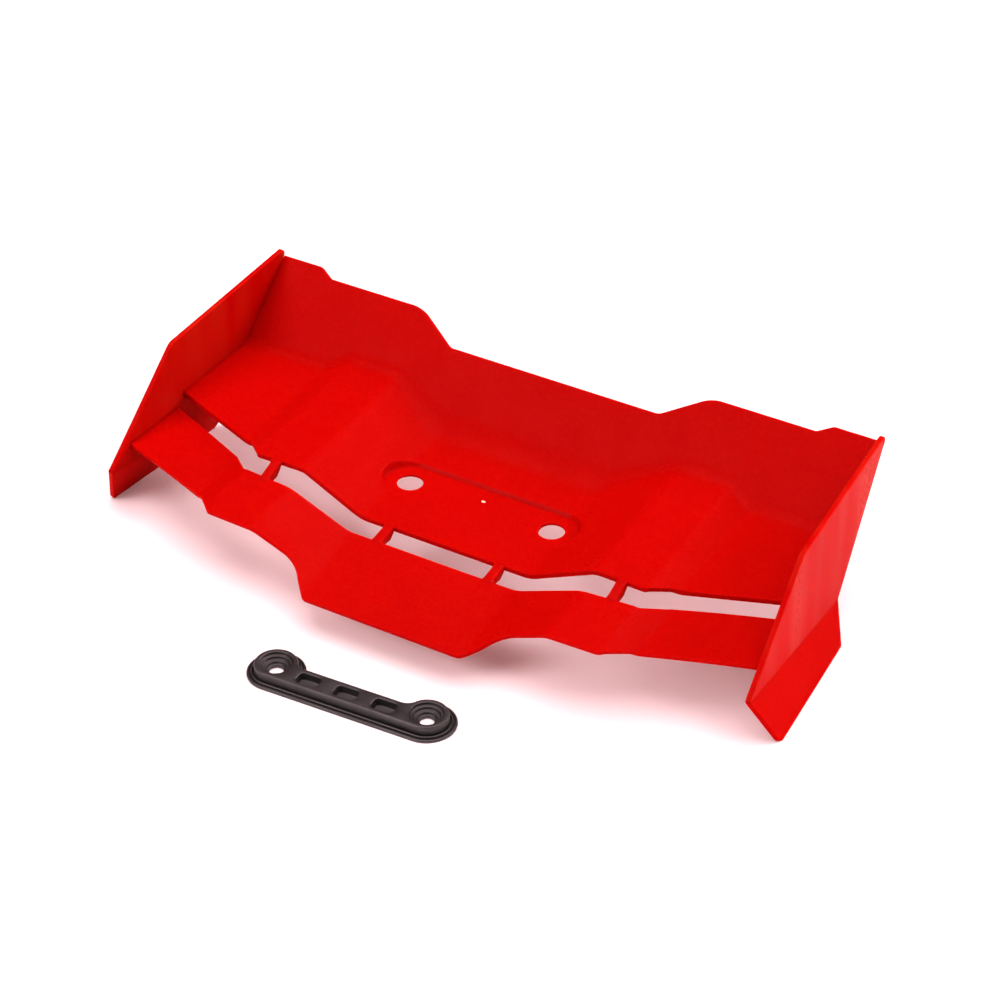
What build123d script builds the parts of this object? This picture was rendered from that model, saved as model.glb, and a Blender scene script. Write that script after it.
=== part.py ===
from build123d import *
import os
from math import cos, radians, sin, tan

# Rear wing of a radio-controlled truggy, standing on the lower fins of its end plates, with its
# loose clamp plate lying in front of it. Millimetres, +Z up, +X along the span, +Y to the rear.
# The origin is midway between the two mounting holes, on the seat that takes the clamp plate.

# Heights below are measured from the surface that the wing stands on
STAND_HEIGHT = 20.0
HOLE_SPACING = 50.0
WALL = 1.9
FLAP_WALL = 1.5
PLATE_WALL = 1.7
FAR = 200.0


def level(height):
    """Turn a height above the standing surface into this part's Z."""
    return height - STAND_HEIGHT


# End plates: toed out towards the front, outline corners as (rearward, height) on the outer face
PLATE_X = 109.6
TOE = 2.2
PLATE_TOP_REAR = (54.9, 52.3)
PLATE_TOP_FRONT = (-6.2, 46.8)
CREASE_FRONT = (-39.4, 17.2)
CREASE_REAR = (24.6, 10.8)
PLATE_CORNER_R = (1.5, 5.0)

# Lower fins: bent outwards along the crease, corners as (along the crease, down the fin)
FLARE = 24.0
FIN_FRONT = (9.6, 18.6)
FIN_REAR = (57.6, 13.1)
FIN_FRONT_R = 3.5
FIN_REAR_R = 1.5

# Both blades fold along the same lines: trough floor, facet, shoulder, step, outer panel
TROUGH_X = 29.3
SHOULDER_IN_X = 50.5
SHOULDER_OUT_X = 68.0
STEP_OUT_X = 75.5
TIP_X = 115.0

# Main plane: height at the hole line and rise per millimetre to the rear, panel by panel
MAIN_TROUGH = (20.45, 0.088)
MAIN_SHOULDER = (29.35, 0.067)
MAIN_OUTER = (26.9, 0.040)
RAMP_ANGLE = 44.0
RAMP_EDGE = (43.8, 41.2)
LIP = [(TROUGH_X, -21.0), (SHOULDER_IN_X, -20.1), (67.5, -20.4), (73.6, -15.0), (TIP_X, 0.1)]
LIP_R = (2.0, 2.0)
# Trailing edge: (out along the span, up the ramp from its lowest stretch)
TRAILING_EDGE = [(37.2, 0.0), (51.6, 9.5), (86.4, 9.5), (91.2, 12.4), (TIP_X, 12.4)]
TRAILING_EDGE_R = (4.0, 12.0, 2.5, 2.5)

# Recess and holes for the clamp plate
SEAT_R = 9.0
SEAT_WALL = 1.2
HOLE_R = 4.0

# Front flap, described as the main plane is; its tips twist flatter towards the end plates
FLAP_TROUGH = (22.75, 0.191)
FLAP_SHOULDER = (28.23, 0.105)
FLAP_OUTER = (24.89, 0.087)
FLAP_TIP = (22.0, -0.020)
FLAP_REAR = [(TROUGH_X, -28.0), (51.2, -27.3), (68.7, -26.0), (75.8, -19.4), (TIP_X, -2.8)]
FLAP_FRONT = [(27.0, -57.2), (35.5, -47.4), (52.2, -48.3), (67.4, -47.8), (74.6, -40.8), (TIP_X, -27.8)]
FLAP_FRONT_R = (3.0, 7.0, 12.0, 3.0, 3.0)

# Ribs that bridge the slot
RIB_WALL = 3.4
RIB_X = (19.3, 60.0)
RIB_BELLY = 2.2

# Clamp plate: two bosses joined by a web that lies to the front of their centre line
CLAMP_AT = (2.6, -76.6)
CLAMP_YAW = 3.1
CLAMP_HEIGHT = 3.9
BOSS_R = 6.5
WEB_REAR = 1.3
NECK_R = 4.0
STEP_OUT = 1.05
STEP_HEIGHT = 1.4
FLANGE_OUT = 2.27
FLANGE_HEIGHT = 0.9
BOLT_R = 2.15
SINK_STAGES = [(4.9, 1.0), (4.0, 1.9), (2.85, 2.8)]
POCKET = (7.3, 4.7)
POCKET_R = 1.6
POCKET_DEPTH = 2.6
POCKET_PITCH = 12.5
POCKET_Y = -2.7

side_normal = Vector(cos(radians(TOE)), sin(radians(TOE)), 0)
plate_plane = Plane(
    origin=(PLATE_X, 0, level(0)), x_dir=(-sin(radians(TOE)), cos(radians(TOE)), 0), z_dir=side_normal
)
inner_plane = plate_plane.offset(-PLATE_WALL)
ramp_plane = Plane(
    origin=(0, RAMP_EDGE[0], level(RAMP_EDGE[1])),
    x_dir=(1, 0, 0),
    z_dir=(0, -sin(radians(RAMP_ANGLE)), cos(radians(RAMP_ANGLE))),
)

# The crease line between end plate and fin, and the mitre plane in which the two meet
crease_start = plate_plane.from_local_coords(Vector(*CREASE_FRONT))
crease_end = plate_plane.from_local_coords(Vector(*CREASE_REAR))
crease = (crease_end - crease_start).normalized()
plate_down = side_normal.cross(crease).normalized() * -1
fin_normal = side_normal.rotate(Axis((0, 0, 0), crease), -FLARE)
fin_down = fin_normal.cross(crease).normalized() * -1
mitre_plane = Plane(origin=crease_start, x_dir=crease, z_dir=(plate_down + fin_down).normalized())
fin_plane = Plane(origin=crease_start, x_dir=crease, z_dir=fin_normal)


def height_at(panel, y):
    """Height of a panel's upper face at a station."""
    return panel[0] + panel[1] * y


def fold_line(panels, y, drop=0.0):
    """Points of a blade's folded cross-section, from one tip to the other."""
    trough, shoulder, outer, tip = (level(height_at(panel, y)) - drop for panel in panels)
    half = [
        (TROUGH_X, trough),
        (SHOULDER_IN_X, shoulder),
        (SHOULDER_OUT_X, shoulder),
        (STEP_OUT_X, outer),
        (TIP_X, tip),
    ]
    return [(-x, z) for x, z in reversed(half)] + half


def room_above(panels, front, rear, drop=0.0):
    """Everything above a folded surface, between two stations."""
    with BuildPart() as room:
        for y in (front, rear):
            with BuildSketch(Plane.XZ.offset(-y)):
                with BuildLine():
                    Polyline(*fold_line(panels, y, drop), (TIP_X, FAR), (-TIP_X, FAR), close=True)
                make_face()
        loft(ruled=True)
    return room.part


def both_sides(half):
    """An edge drawn on the right, continued to the left as its mirror image."""
    return [(-x, y) for x, y in reversed(half)] + half


def round_corners(sketch, corners, radii):
    """Round the named corners of a sketch, each with its own radius."""
    for corner, radius in zip(corners, radii):
        fillet(sketch.vertices().sort_by_distance((*corner, 0))[0], radius)


def round_both_sides(sketch, corners, radii):
    """Round corners on the right half of a sketch, and their mirror images."""
    round_corners(sketch, corners, radii)
    round_corners(sketch, [(-x, y) for x, y in corners], radii)


def between_plates():
    """The room between the inner faces of the two end plates."""
    reach = inner_plane.origin
    near, far = (reach.X - tan(radians(TOE)) * (y - reach.Y) for y in (-FAR / 2, FAR / 2))
    with BuildPart() as gap:
        with BuildSketch(Plane.XY.offset(level(-FAR))):
            with BuildLine():
                Polyline(
                    (-near, -FAR / 2), (near, -FAR / 2), (far, FAR / 2), (-far, FAR / 2), close=True
                )
            make_face()
        extrude(amount=2 * FAR)
    return gap.part


main_panels = (MAIN_TROUGH, MAIN_SHOULDER, MAIN_OUTER, MAIN_OUTER)
flap_panels = (FLAP_TROUGH, FLAP_SHOULDER, FLAP_OUTER, FLAP_TIP)
inside = between_plates()

# Main plane: the room above its underside, less the room above its top
with BuildPart() as main_air:
    add(room_above(main_panels, -40, 90))
    split(bisect_by=ramp_plane, keep=Keep.TOP)

with BuildPart() as main_plane:
    add(room_above(main_panels, -40, 90, WALL))
    split(bisect_by=ramp_plane.offset(-WALL), keep=Keep.TOP)
    # pad under the seat, so that the recess keeps its wall
    with BuildSketch(Plane.XY.offset(-SEAT_WALL)):
        SlotCenterToCenter(HOLE_SPACING, 2 * (SEAT_R + WALL))
    extrude(amount=FAR)
    add(main_air.part, mode=Mode.SUBTRACT)
    # front lip
    with BuildSketch(Plane.XY.offset(level(-FAR))) as lip_outline:
        with BuildLine():
            Polyline(*both_sides(LIP), (TIP_X, FAR / 2), (-TIP_X, FAR / 2), close=True)
        make_face()
        round_both_sides(lip_outline, LIP[2:4], LIP_R)
    extrude(amount=2 * FAR, mode=Mode.INTERSECT)
    # trailing edge, cut square to the ramp
    with BuildSketch(ramp_plane) as ramp_outline:
        with BuildLine():
            Polyline(*both_sides(TRAILING_EDGE), (TIP_X, -FAR), (-TIP_X, -FAR), close=True)
        make_face()
        round_both_sides(ramp_outline, TRAILING_EDGE[:4], TRAILING_EDGE_R)
    extrude(amount=FAR, both=True, mode=Mode.INTERSECT)
    add(inside, mode=Mode.INTERSECT)
    # recess for the clamp plate, and its two holes
    with BuildSketch(Plane.XY):
        SlotCenterToCenter(HOLE_SPACING, 2 * SEAT_R)
    extrude(amount=FAR, mode=Mode.SUBTRACT)
    with Locations((-HOLE_SPACING / 2, 0, 0), (HOLE_SPACING / 2, 0, 0)):
        Hole(HOLE_R)

# Front flap
with BuildPart() as front_flap:
    add(room_above(flap_panels, -70, 10, FLAP_WALL))
    add(room_above(flap_panels, -70, 10), mode=Mode.SUBTRACT)
    with BuildSketch(Plane.XY.offset(level(-FAR))) as flap_outline:
        with BuildLine():
            Polyline(*both_sides(FLAP_REAR), *reversed(both_sides(FLAP_FRONT)), close=True)
        make_face()
        round_both_sides(flap_outline, FLAP_FRONT[:5], FLAP_FRONT_R)
        round_both_sides(flap_outline, FLAP_REAR[2:4], LIP_R)
    extrude(amount=2 * FAR, mode=Mode.INTERSECT)
    add(inside, mode=Mode.INTERSECT)


def edge_y(edge, x):
    """Where an edge drawn by its corners stands at a given place along the span."""
    if x <= edge[0][0]:
        return edge[0][1]
    for (x0, y0), (x1, y1) in zip(edge, edge[1:]):
        if x <= x1:
            return y0 + (y1 - y0) * (x - x0) / (x1 - x0)
    return edge[-1][1]


def slot_rib(centre_x, panels):
    """A rib across the slot: its ends stand flat on the lip and on the flap's rear edge."""
    main_panel, flap_panel = panels
    rear, front = edge_y(LIP, centre_x), edge_y(FLAP_REAR, centre_x)
    top_rear = level(height_at(main_panel, rear))
    top_front = level(height_at(flap_panel, front))
    with BuildPart() as rib:
        with BuildSketch(Plane.YZ.offset(centre_x - RIB_WALL / 2)):
            with BuildLine():
                outline = Polyline((rear, top_rear), (front, top_front), (front, top_front - FLAP_WALL))
                ThreePointArc(
                    outline @ 1,
                    ((rear + front) / 2, top_front - FLAP_WALL - RIB_BELLY),
                    (rear, top_rear - WALL),
                )
                Line((rear, top_rear - WALL), (rear, top_rear))
            make_face()
        extrude(amount=RIB_WALL)
        # the lip and the flap's edge run at a slight angle, so trim the ends to meet them
        add(front_flap.part, mode=Mode.SUBTRACT)
        add(main_plane.part, mode=Mode.SUBTRACT)
    return rib.part


inner_rib = slot_rib(RIB_X[0], (MAIN_TROUGH, FLAP_TROUGH))
outer_rib = slot_rib(RIB_X[1], (MAIN_SHOULDER, FLAP_SHOULDER))

# End plates
with BuildPart() as end_plate_right:
    with BuildSketch(plate_plane) as plate_outline:
        with BuildLine():
            Polyline(
                PLATE_TOP_REAR,
                PLATE_TOP_FRONT,
                CREASE_FRONT,
                (CREASE_FRONT[0] + 6, -10),
                (CREASE_REAR[0] - 4, -10),
                CREASE_REAR,
                close=True,
            )
        make_face()
        round_corners(plate_outline, (PLATE_TOP_REAR, PLATE_TOP_FRONT), PLATE_CORNER_R)
    extrude(amount=-PLATE_WALL)
    split(bisect_by=mitre_plane, keep=Keep.BOTTOM)

with BuildPart() as lower_fin_right:
    with BuildSketch(fin_plane):
        with BuildLine():
            Polyline(
                (0, 0),
                (-3, 6),
                ((crease_end - crease_start).length + 2, 6),
                ((crease_end - crease_start).length, 0),
                (FIN_REAR[0], -FIN_REAR[1]),
                (FIN_FRONT[0], -FIN_FRONT[1]),
                close=True,
            )
        make_face()
    extrude(amount=-PLATE_WALL)
    split(bisect_by=mitre_plane, keep=Keep.TOP)
    split(bisect_by=Plane.XY.offset(level(0)), keep=Keep.TOP)
    for along, down, radius in ((*FIN_FRONT, FIN_FRONT_R), (*FIN_REAR, FIN_REAR_R)):
        corner = fin_plane.from_local_coords(Vector(along, -down))
        across_wall = lower_fin_right.edges().filter_by(lambda edge: edge.length < 2 * PLATE_WALL)
        fillet(across_wall.sort_by_distance(corner)[0], radius)

# Clamp plate
clamp_plane = Plane(
    origin=(*CLAMP_AT, level(0)),
    x_dir=(cos(radians(CLAMP_YAW)), sin(radians(CLAMP_YAW)), 0),
    z_dir=(0, 0, 1),
)
boss_centres = [(-HOLE_SPACING / 2, 0), (HOLE_SPACING / 2, 0)]


def clamp_layer(growth, height):
    """One storey of the clamp plate: the dog-bone outline, grown outwards."""
    with BuildPart() as layer:
        with BuildSketch(clamp_plane) as plan:
            with Locations(*boss_centres):
                Circle(BOSS_R)
            with Locations((0, (WEB_REAR - BOSS_R) / 2)):
                Rectangle(HOLE_SPACING, WEB_REAR + BOSS_R)
            necks = plan.vertices().filter_by(lambda corner: corner.Y > 0)
            fillet(necks, NECK_R)
            if growth:
                offset(amount=growth)
        extrude(amount=height)
    return layer.part


with BuildPart() as clamp_plate:
    add(clamp_layer(FLANGE_OUT, FLANGE_HEIGHT))
    add(clamp_layer(STEP_OUT, STEP_HEIGHT))
    add(clamp_layer(0, CLAMP_HEIGHT))
    with BuildSketch(clamp_plane):
        with Locations(*boss_centres):
            Circle(BOLT_R)
    extrude(amount=CLAMP_HEIGHT, mode=Mode.SUBTRACT)
    for radius, depth in SINK_STAGES:
        with BuildSketch(clamp_plane.offset(CLAMP_HEIGHT - depth)):
            with Locations(*boss_centres):
                Circle(radius)
        extrude(amount=depth, mode=Mode.SUBTRACT)
    with BuildSketch(clamp_plane.offset(CLAMP_HEIGHT - POCKET_DEPTH)):
        with Locations(*[(step * POCKET_PITCH, POCKET_Y) for step in (-1, 0, 1)]):
            RectangleRounded(*POCKET, POCKET_R)
    extrude(amount=POCKET_DEPTH, mode=Mode.SUBTRACT)

pieces = {
    "main_plane": main_plane.part,
    "front_flap": front_flap.part,
    "slot_rib_inner_right": inner_rib,
    "slot_rib_inner_left": mirror(inner_rib, about=Plane.YZ),
    "slot_rib_outer_right": outer_rib,
    "slot_rib_outer_left": mirror(outer_rib, about=Plane.YZ),
    "end_plate_right": end_plate_right.part,
    "end_plate_left": mirror(end_plate_right.part, about=Plane.YZ),
    "lower_fin_right": lower_fin_right.part,
    "lower_fin_left": mirror(lower_fin_right.part, about=Plane.YZ),
    "clamp_plate": clamp_plate.part,
}

os.makedirs("parts", exist_ok=True)
for name, piece in pieces.items():
    piece.label = name
    export_step(piece, f"parts/{name}.step")
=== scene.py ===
import math

import bmesh
import bpy
import numpy as np
from mathutils import Matrix, Vector
from mathutils.geometry import delaunay_2d_cdt
from mathutils.kdtree import KDTree


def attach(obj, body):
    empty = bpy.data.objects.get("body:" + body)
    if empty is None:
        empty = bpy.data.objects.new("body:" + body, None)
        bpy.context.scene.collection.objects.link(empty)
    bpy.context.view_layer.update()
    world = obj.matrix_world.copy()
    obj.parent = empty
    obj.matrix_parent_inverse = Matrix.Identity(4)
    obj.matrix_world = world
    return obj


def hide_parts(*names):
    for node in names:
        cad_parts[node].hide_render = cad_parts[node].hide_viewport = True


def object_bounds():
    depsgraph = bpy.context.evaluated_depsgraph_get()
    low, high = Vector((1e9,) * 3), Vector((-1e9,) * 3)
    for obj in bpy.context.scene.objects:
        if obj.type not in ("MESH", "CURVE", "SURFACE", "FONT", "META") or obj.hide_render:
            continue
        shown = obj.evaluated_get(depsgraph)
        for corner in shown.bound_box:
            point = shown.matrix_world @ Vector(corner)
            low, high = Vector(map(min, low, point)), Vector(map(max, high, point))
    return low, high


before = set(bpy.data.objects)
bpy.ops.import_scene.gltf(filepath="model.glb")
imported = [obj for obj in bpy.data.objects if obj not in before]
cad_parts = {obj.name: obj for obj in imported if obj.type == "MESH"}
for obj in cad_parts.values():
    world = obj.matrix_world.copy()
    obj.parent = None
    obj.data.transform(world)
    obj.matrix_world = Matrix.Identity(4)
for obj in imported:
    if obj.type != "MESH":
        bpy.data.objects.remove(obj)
cad_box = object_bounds()

# Shapes below are worked out in millimetres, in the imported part's frame, and made in metres
MM = 0.001
STAND = -cad_box[0].z / MM
HOLE_SPACING = 50.0
HOLE_R = 4.0

# Blades: fold lines along the span and how widely each fold is rounded
TROUGH_X, SHOULDER_IN_X, SHOULDER_OUT_X, STEP_OUT_X, TIP_X = 29.3, 50.5, 68.0, 75.5, 115.0
FOLD_ROUND = (2.4, 2.2, 1.2, 1.2)

# Panels as (height over the standing surface at the hole line, rise per millimetre to the rear)
MAIN_PANELS = ((20.45, 0.088), (29.35, 0.067), (26.9, 0.040), (26.9, 0.040))
FLAP_PANELS = ((22.75, 0.191), (28.23, 0.105), (24.89, 0.087), (22.0, -0.020))
MAIN_WALL = 1.9
FLAP_WALL = 1.5
RAMP_ANGLE = math.radians(44.0)
RAMP_EDGE = (43.8, 41.2)
RAMP_ROUND = (5.0, 2.4)
LIP = [(TROUGH_X, -21.0), (SHOULDER_IN_X, -20.1), (67.5, -20.4), (73.6, -15.0), (TIP_X, 0.1)]
LIP_R = [4.0, 4.0, 2.0, 2.0, 0.0]
TRAILING_EDGE = [(37.2, 0.0), (51.6, 9.5), (86.4, 9.5), (91.2, 12.4), (TIP_X, 12.4)]
TRAILING_EDGE_R = [4.0, 12.0, 2.5, 2.5, 0.0]
FLAP_REAR = [(TROUGH_X, -28.0), (51.2, -27.3), (68.7, -26.0), (75.8, -19.4), (TIP_X, -2.8)]
FLAP_REAR_R = [4.0, 4.0, 2.0, 2.0, 0.0]
FLAP_FRONT = [(27.0, -57.2), (35.5, -47.4), (52.2, -48.3), (67.4, -47.8), (74.6, -40.8), (TIP_X, -27.8)]
FLAP_FRONT_R = [3.0, 9.0, 12.0, 3.0, 3.0, 0.0]
RIM_R = 0.38
RIM_STEPS = 4
EDGE_STEP = 0.5
EDGE_STEP_BY_PLATE = 0.13
NET_STEP = 1.3

# Recess round the two holes, and the pad under it
SEAT_R = 9.0
SEAT_WALL_INSIDE, SEAT_WALL_WIDTH = 1.05, 1.3
SEAT_EDGE_ROUND = 0.12
PAD_R = 10.9
PAD_WALL = 1.2
PAD_RUN_OUT = 1.2
SINK_DEPTH, SINK_WIDTH = 0.12, 0.8
HOLE_POINTS = 96

# End plates and the flared fins under them
PLATE_X = 109.6
PLATE_WALL = 1.7
TOE = math.radians(2.2)
FLARE = math.radians(24.0)
PLATE_TOP_REAR, PLATE_TOP_FRONT = (54.9, 52.3), (-6.2, 46.8)
CREASE_FRONT, CREASE_REAR = (-39.4, 17.2), (24.6, 10.8)
FIN_FRONT, FIN_REAR = (9.6, -18.6), (57.6, -13.1)
CREASE_ROUND = 0.6
JUNCTION_R = 0.5
SUNK = 0.12

# Ribs across the slot
RIB_X = (19.3, 60.0)
RIB_WALL = 3.2
RIB_EDGE = 1.3
RIB_BELLY = 2.5
RIB_BELLY_AT = 0.25
RIB_PROUD = 0.16
RIB_SQUARENESS = 0.34
RIB_REACH_REAR, RIB_REACH_FRONT = 1.5, 1.9

# Mark left by the sprue on the recess floor
GATE_AT = (-0.2, 2.4)
GATE_SIZE = (1.5, 0.9)

# Clamp plate
CLAMP_AT = (2.6, -76.6)
CLAMP_YAW = math.radians(3.1)
BOSS_R = 6.5
WEB_REAR = 1.3
NECK_R = 4.0
CLAMP_TOP = 3.9
RUN_STEP = 0.8
BORE_POINTS = 72
POCKET_SIZE = (7.3, 4.7)
POCKET_R = 1.6
POCKET_PITCH = 12.5
POCKET_Y = -2.7
POCKET_FLOOR = 1.3

# Light: a little pink, so that the bright floor stays white and the shadows turn pink
LIGHT_COLOUR = (1.0, 0.74, 0.765)
ROOM_SEEN, ROOM_LIGHT = 0.95, 0.05

# Camera, in metres and degrees
CAMERA_AT = (0.35833, -0.59253, 0.49229)
CAMERA_AZIMUTH = math.radians(30.66)
CAMERA_HEIGHT = math.radians(35.29)
CAMERA_LENS = 100.83


# ---------------------------------------------------------------- outlines and smooth corners

def rise(t, width):
    """Nothing, then one for one: the corner at zero is rounded over width to each side."""
    t = np.asarray(t, float)
    rounded = (t + width) ** 2 / (4 * width)
    return np.where(t <= -width, 0.0, np.where(t >= width, t, rounded))


def ease(t):
    """From 0 to 1, level at both ends."""
    t = np.clip(t, 0.0, 1.0)
    return t * t * (3 - 2 * t)


def rounded_path(corners, radii, step, closed=False):
    """Straight runs between corners, each corner rounded by its own radius."""
    corners = [np.array(c, float) for c in corners]
    count = len(corners)
    stretches = []
    for i, (corner, radius) in enumerate(zip(corners, radii)):
        if radius == 0 or (not closed and i in (0, count - 1)):
            stretches.append([corner])
            continue
        back = corners[i - 1] - corner
        ahead = corners[(i + 1) % count] - corner
        back, ahead = back / np.linalg.norm(back), ahead / np.linalg.norm(ahead)
        half = math.acos(np.clip(back @ ahead, -1, 1)) / 2
        centre = corner + (back + ahead) / np.linalg.norm(back + ahead) * radius / math.sin(half)
        start = corner + back * radius / math.tan(half) - centre
        end = corner + ahead * radius / math.tan(half) - centre
        sweep = math.pi - 2 * half
        turns = max(3, math.ceil(sweep * radius / step), math.ceil(sweep / math.radians(9)))
        arc = []
        for k in range(turns + 1):
            share = k / turns
            arc.append(centre + (math.sin((1 - share) * sweep) * start + math.sin(share * sweep) * end)
                       / math.sin(sweep))
        stretches.append(arc)
    points = []
    for i, stretch in enumerate(stretches):
        points += stretch
        if i == count - 1 and not closed:
            break
        a, b = stretch[-1], stretches[(i + 1) % count][0]
        pieces = max(1, math.ceil(np.linalg.norm(b - a) / step))
        points += [a + (b - a) * k / pieces for k in range(1, pieces)]
    return np.array(points)


def refined(path, wanted, step):
    """The same path with more points where wanted(x, y) says so."""
    out = [path[0]]
    for a, b in zip(path, path[1:]):
        if wanted((a + b) / 2):
            pieces = max(1, math.ceil(np.linalg.norm(b - a) / step))
            out += [a + (b - a) * k / pieces for k in range(1, pieces)]
        out.append(b)
    return np.array(out)


def both_sides(half, radii):
    """A half outline from the middle outwards, continued as its mirror image."""
    return [(-x, y) for x, y in reversed(half)] + list(half), list(reversed(radii)) + list(radii)


def inside(points, loop):
    """Which points lie inside a closed loop."""
    found = np.zeros(len(points), bool)
    x, y = points[:, 0], points[:, 1]
    for (x0, y0), (x1, y1) in zip(loop, np.roll(loop, -1, axis=0)):
        if y0 == y1:
            continue
        crosses = ((y0 > y) != (y1 > y)) & (x < (x1 - x0) * (y - y0) / (y1 - y0) + x0)
        found ^= crosses
    return found


def away_from(points, others, distance):
    """The points that keep their distance from all others."""
    tree = KDTree(len(others))
    for i, (x, y) in enumerate(others):
        tree.insert((x, y, 0), i)
    tree.balance()
    keep = [tree.find((x, y, 0))[2] > distance for x, y in points]
    return points[np.array(keep, bool)] if len(points) else points


# ---------------------------------------------------------------- meshes

def new_object(name, verts, faces, normals, material):
    mesh = bpy.data.meshes.new(name)
    corners = [tuple(v) for v in np.asarray(verts) * MM]
    mesh.from_pydata(corners, [], [tuple(int(i) for i in f) for f in faces])
    mesh.update()
    mesh.shade_smooth()
    if normals is not None:
        mesh.normals_split_custom_set_from_vertices([tuple(n) for n in normals])
    mesh.materials.append(material)
    piece = bpy.data.objects.new(name, mesh)
    bpy.context.scene.collection.objects.link(piece)
    return piece


def unit(vectors):
    """Each vector at length one; a vector without length stays as it is."""
    return vectors / np.maximum(np.linalg.norm(vectors, axis=-1, keepdims=True), 1e-12)


def smooth_normals(verts, faces):
    """Normals at the points of a mesh, each face counted by its area."""
    normals = np.zeros_like(verts)
    for size in {len(f) for f in faces}:
        some = np.array([f for f in faces if len(f) == size])
        a = verts[some[:, 0]]
        if size == 3:
            weight = np.cross(verts[some[:, 1]] - a, verts[some[:, 2]] - a)
        else:
            weight = np.cross(verts[some[:, 2]] - a, verts[some[:, 3]] - verts[some[:, 1]])
        for k in range(size):
            np.add.at(normals, some[:, k], weight)
    return unit(normals)


def triangulated(plan, loops, more_edges=()):
    """Fill the space between an outer loop and its holes with triangles that all turn left. plan starts with
    the points of the loops. Returns the points, the triangles, and the given points behind each point."""
    edges, start = [], 0
    for loop in loops:
        edges += [(start + i, start + (i + 1) % len(loop)) for i in range(len(loop))]
        start += len(loop)
    coords = [Vector((float(x), float(y))) for x, y in plan]
    out, _, tris, given, _, _ = delaunay_2d_cdt(coords, edges + list(more_edges), [], 0, 1e-7)
    out, tris = np.array([tuple(v) for v in out]), np.array(list(tris), int)
    a, b, c = out[tris[:, 0]], out[tris[:, 1]], out[tris[:, 2]]
    area = (b[:, 0] - a[:, 0]) * (c[:, 1] - a[:, 1]) - (b[:, 1] - a[:, 1]) * (c[:, 0] - a[:, 0])
    tris[area < 0] = tris[area < 0][:, ::-1]
    centres = (a + b + c) / 3
    keep = inside(centres, loops[0]) & (np.abs(area) > 1e-9)
    for loop in loops[1:]:
        keep &= ~inside(centres, loop)
    return out, tris[keep], given


def shell(surface, loops, points, seam=None):
    """A sheet with rounded rims. surface(plan) gives its two faces and the normal; loops are closed
    plan outlines with the material on their left; points are where the faces bend. Returns the points,
    the faces, where each face lies in plan, and the normals at the points."""
    plan_rows, rims, rim_normals = [], [], []
    for loop in loops:
        ahead = unit(np.roll(loop, -1, axis=0) - np.roll(loop, 1, axis=0))
        inward = np.stack([-ahead[:, 1], ahead[:, 0]], axis=1)
        top, under, normal = surface(loop)
        nudge = 0.02
        stretch = np.linalg.norm(surface(loop + inward * nudge)[0] - top, axis=1) / nudge
        along = unit(np.roll(top, -1, axis=0) - np.roll(top, 1, axis=0))
        into = unit(np.cross(normal, along))
        row = loop + inward * (RIM_R / np.clip(stretch, 0.8, 3.0))[:, None]
        plan_rows.append(row)
        turns = [k / RIM_STEPS * math.pi / 2 for k in range(1, RIM_STEPS + 1)]
        upper = [top + into * RIM_R * (1 - math.sin(t)) - normal * RIM_R * (1 - math.cos(t)) for t in turns]
        lower = [under + into * RIM_R * (1 - math.sin(t)) + normal * RIM_R * (1 - math.cos(t))
                 for t in reversed(turns)]
        rims.append(upper + lower)
        rim_normals.append([normal * math.cos(t) - into * math.sin(t) for t in turns]
                           + [-normal * math.cos(t) - into * math.sin(t) for t in reversed(turns)])
    rings = np.concatenate(plan_rows)
    keep = inside(points, plan_rows[0])
    for row in plan_rows[1:]:
        keep &= ~inside(points, row)
    inner = away_from(points[keep], rings, 0.4)
    plan = np.concatenate([rings, inner])
    more_edges = seam(plan, rings) if seam else []
    out, tris, given = triangulated(plan, plan_rows, more_edges)
    place = {source: i for i, sources in enumerate(given) for source in sources}
    top, under, _ = surface(out)
    count = len(out)
    verts = [top, under]
    faces = [tuple(t) for t in tris] + [tuple(t[::-1] + count) for t in tris]
    plans = [out[list(f)].mean(axis=0) for f in tris] * 2
    normals = [smooth_normals(np.concatenate(verts), faces)]
    base, start = 2 * count, 0
    for row, rim, turned in zip(plan_rows, rims, rim_normals):
        size = len(row)
        normals += turned
        ring = [[place[start + i] for i in range(size)]]
        for rows in rim:
            verts.append(rows)
            ring.append([base + i for i in range(size)])
            base += size
        ring.append([place[start + i] + count for i in range(size)])
        for upper, lower in zip(ring, ring[1:]):
            for i in range(size):
                j = (i + 1) % size
                faces.append((upper[i], lower[i], lower[j], upper[j]))
                plans.append((row[i] + row[j]) / 2)
        start += size
    return np.concatenate(verts), faces, np.array(plans), unit(np.concatenate(normals))


def tidy_mesh(verts, faces, normals):
    """Drop points that no face uses."""
    used = sorted({i for f in faces for i in f})
    number = {old: new for new, old in enumerate(used)}
    return verts[used], [tuple(number[i] for i in f) for f in faces], normals[used]


# ---------------------------------------------------------------- blades

def folded(panels, x, y):
    """Height of a folded blade's upper face."""
    trough, shoulder, outer, tip = (p[0] + p[1] * y for p in panels)
    x = np.abs(x)
    facet = (shoulder - trough) / (SHOULDER_IN_X - TROUGH_X)
    step = (outer - shoulder) / (STEP_OUT_X - SHOULDER_OUT_X)
    twist = (tip - outer) / (TIP_X - STEP_OUT_X)
    z = trough + facet * rise(x - TROUGH_X, FOLD_ROUND[0]) - facet * rise(x - SHOULDER_IN_X, FOLD_ROUND[1])
    z = z + step * rise(x - SHOULDER_OUT_X, FOLD_ROUND[2])
    z = z + (twist - step) * rise(x - STEP_OUT_X, FOLD_ROUND[3])
    return z - STAND


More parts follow.
